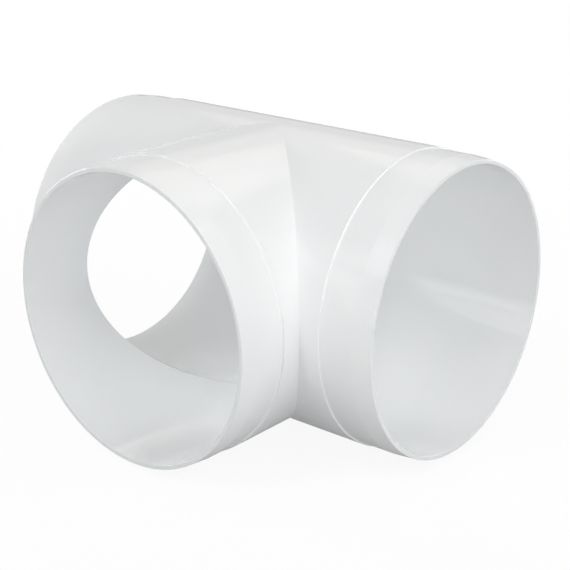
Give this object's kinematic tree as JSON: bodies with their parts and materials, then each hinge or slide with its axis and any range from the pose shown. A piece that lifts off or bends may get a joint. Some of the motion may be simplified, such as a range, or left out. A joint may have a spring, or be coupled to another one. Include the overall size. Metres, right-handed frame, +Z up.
{
  "type": "round duct tee",
  "caption": "Round ventilation duct tee in glossy white plastic: a straight run with an equal branch at right angles, its open ends shouldered spigots with a tapered lead-in.",
  "frame": {"origin": "where the axis of the run crosses the axis of the branch, midway along the run's bore", "axes": "+X along the run, -Y along the branch towards its open end, +Z up with both axes level, as the tee lies on a surface"},
  "size_m": [0.1534, 0.126, 0.101],
  "materials": {
    "white_plastic": "glossy moulded"
  },
  "bodies": {
    "root": {"tee": "white_plastic"}
  },
  "joints": []
}
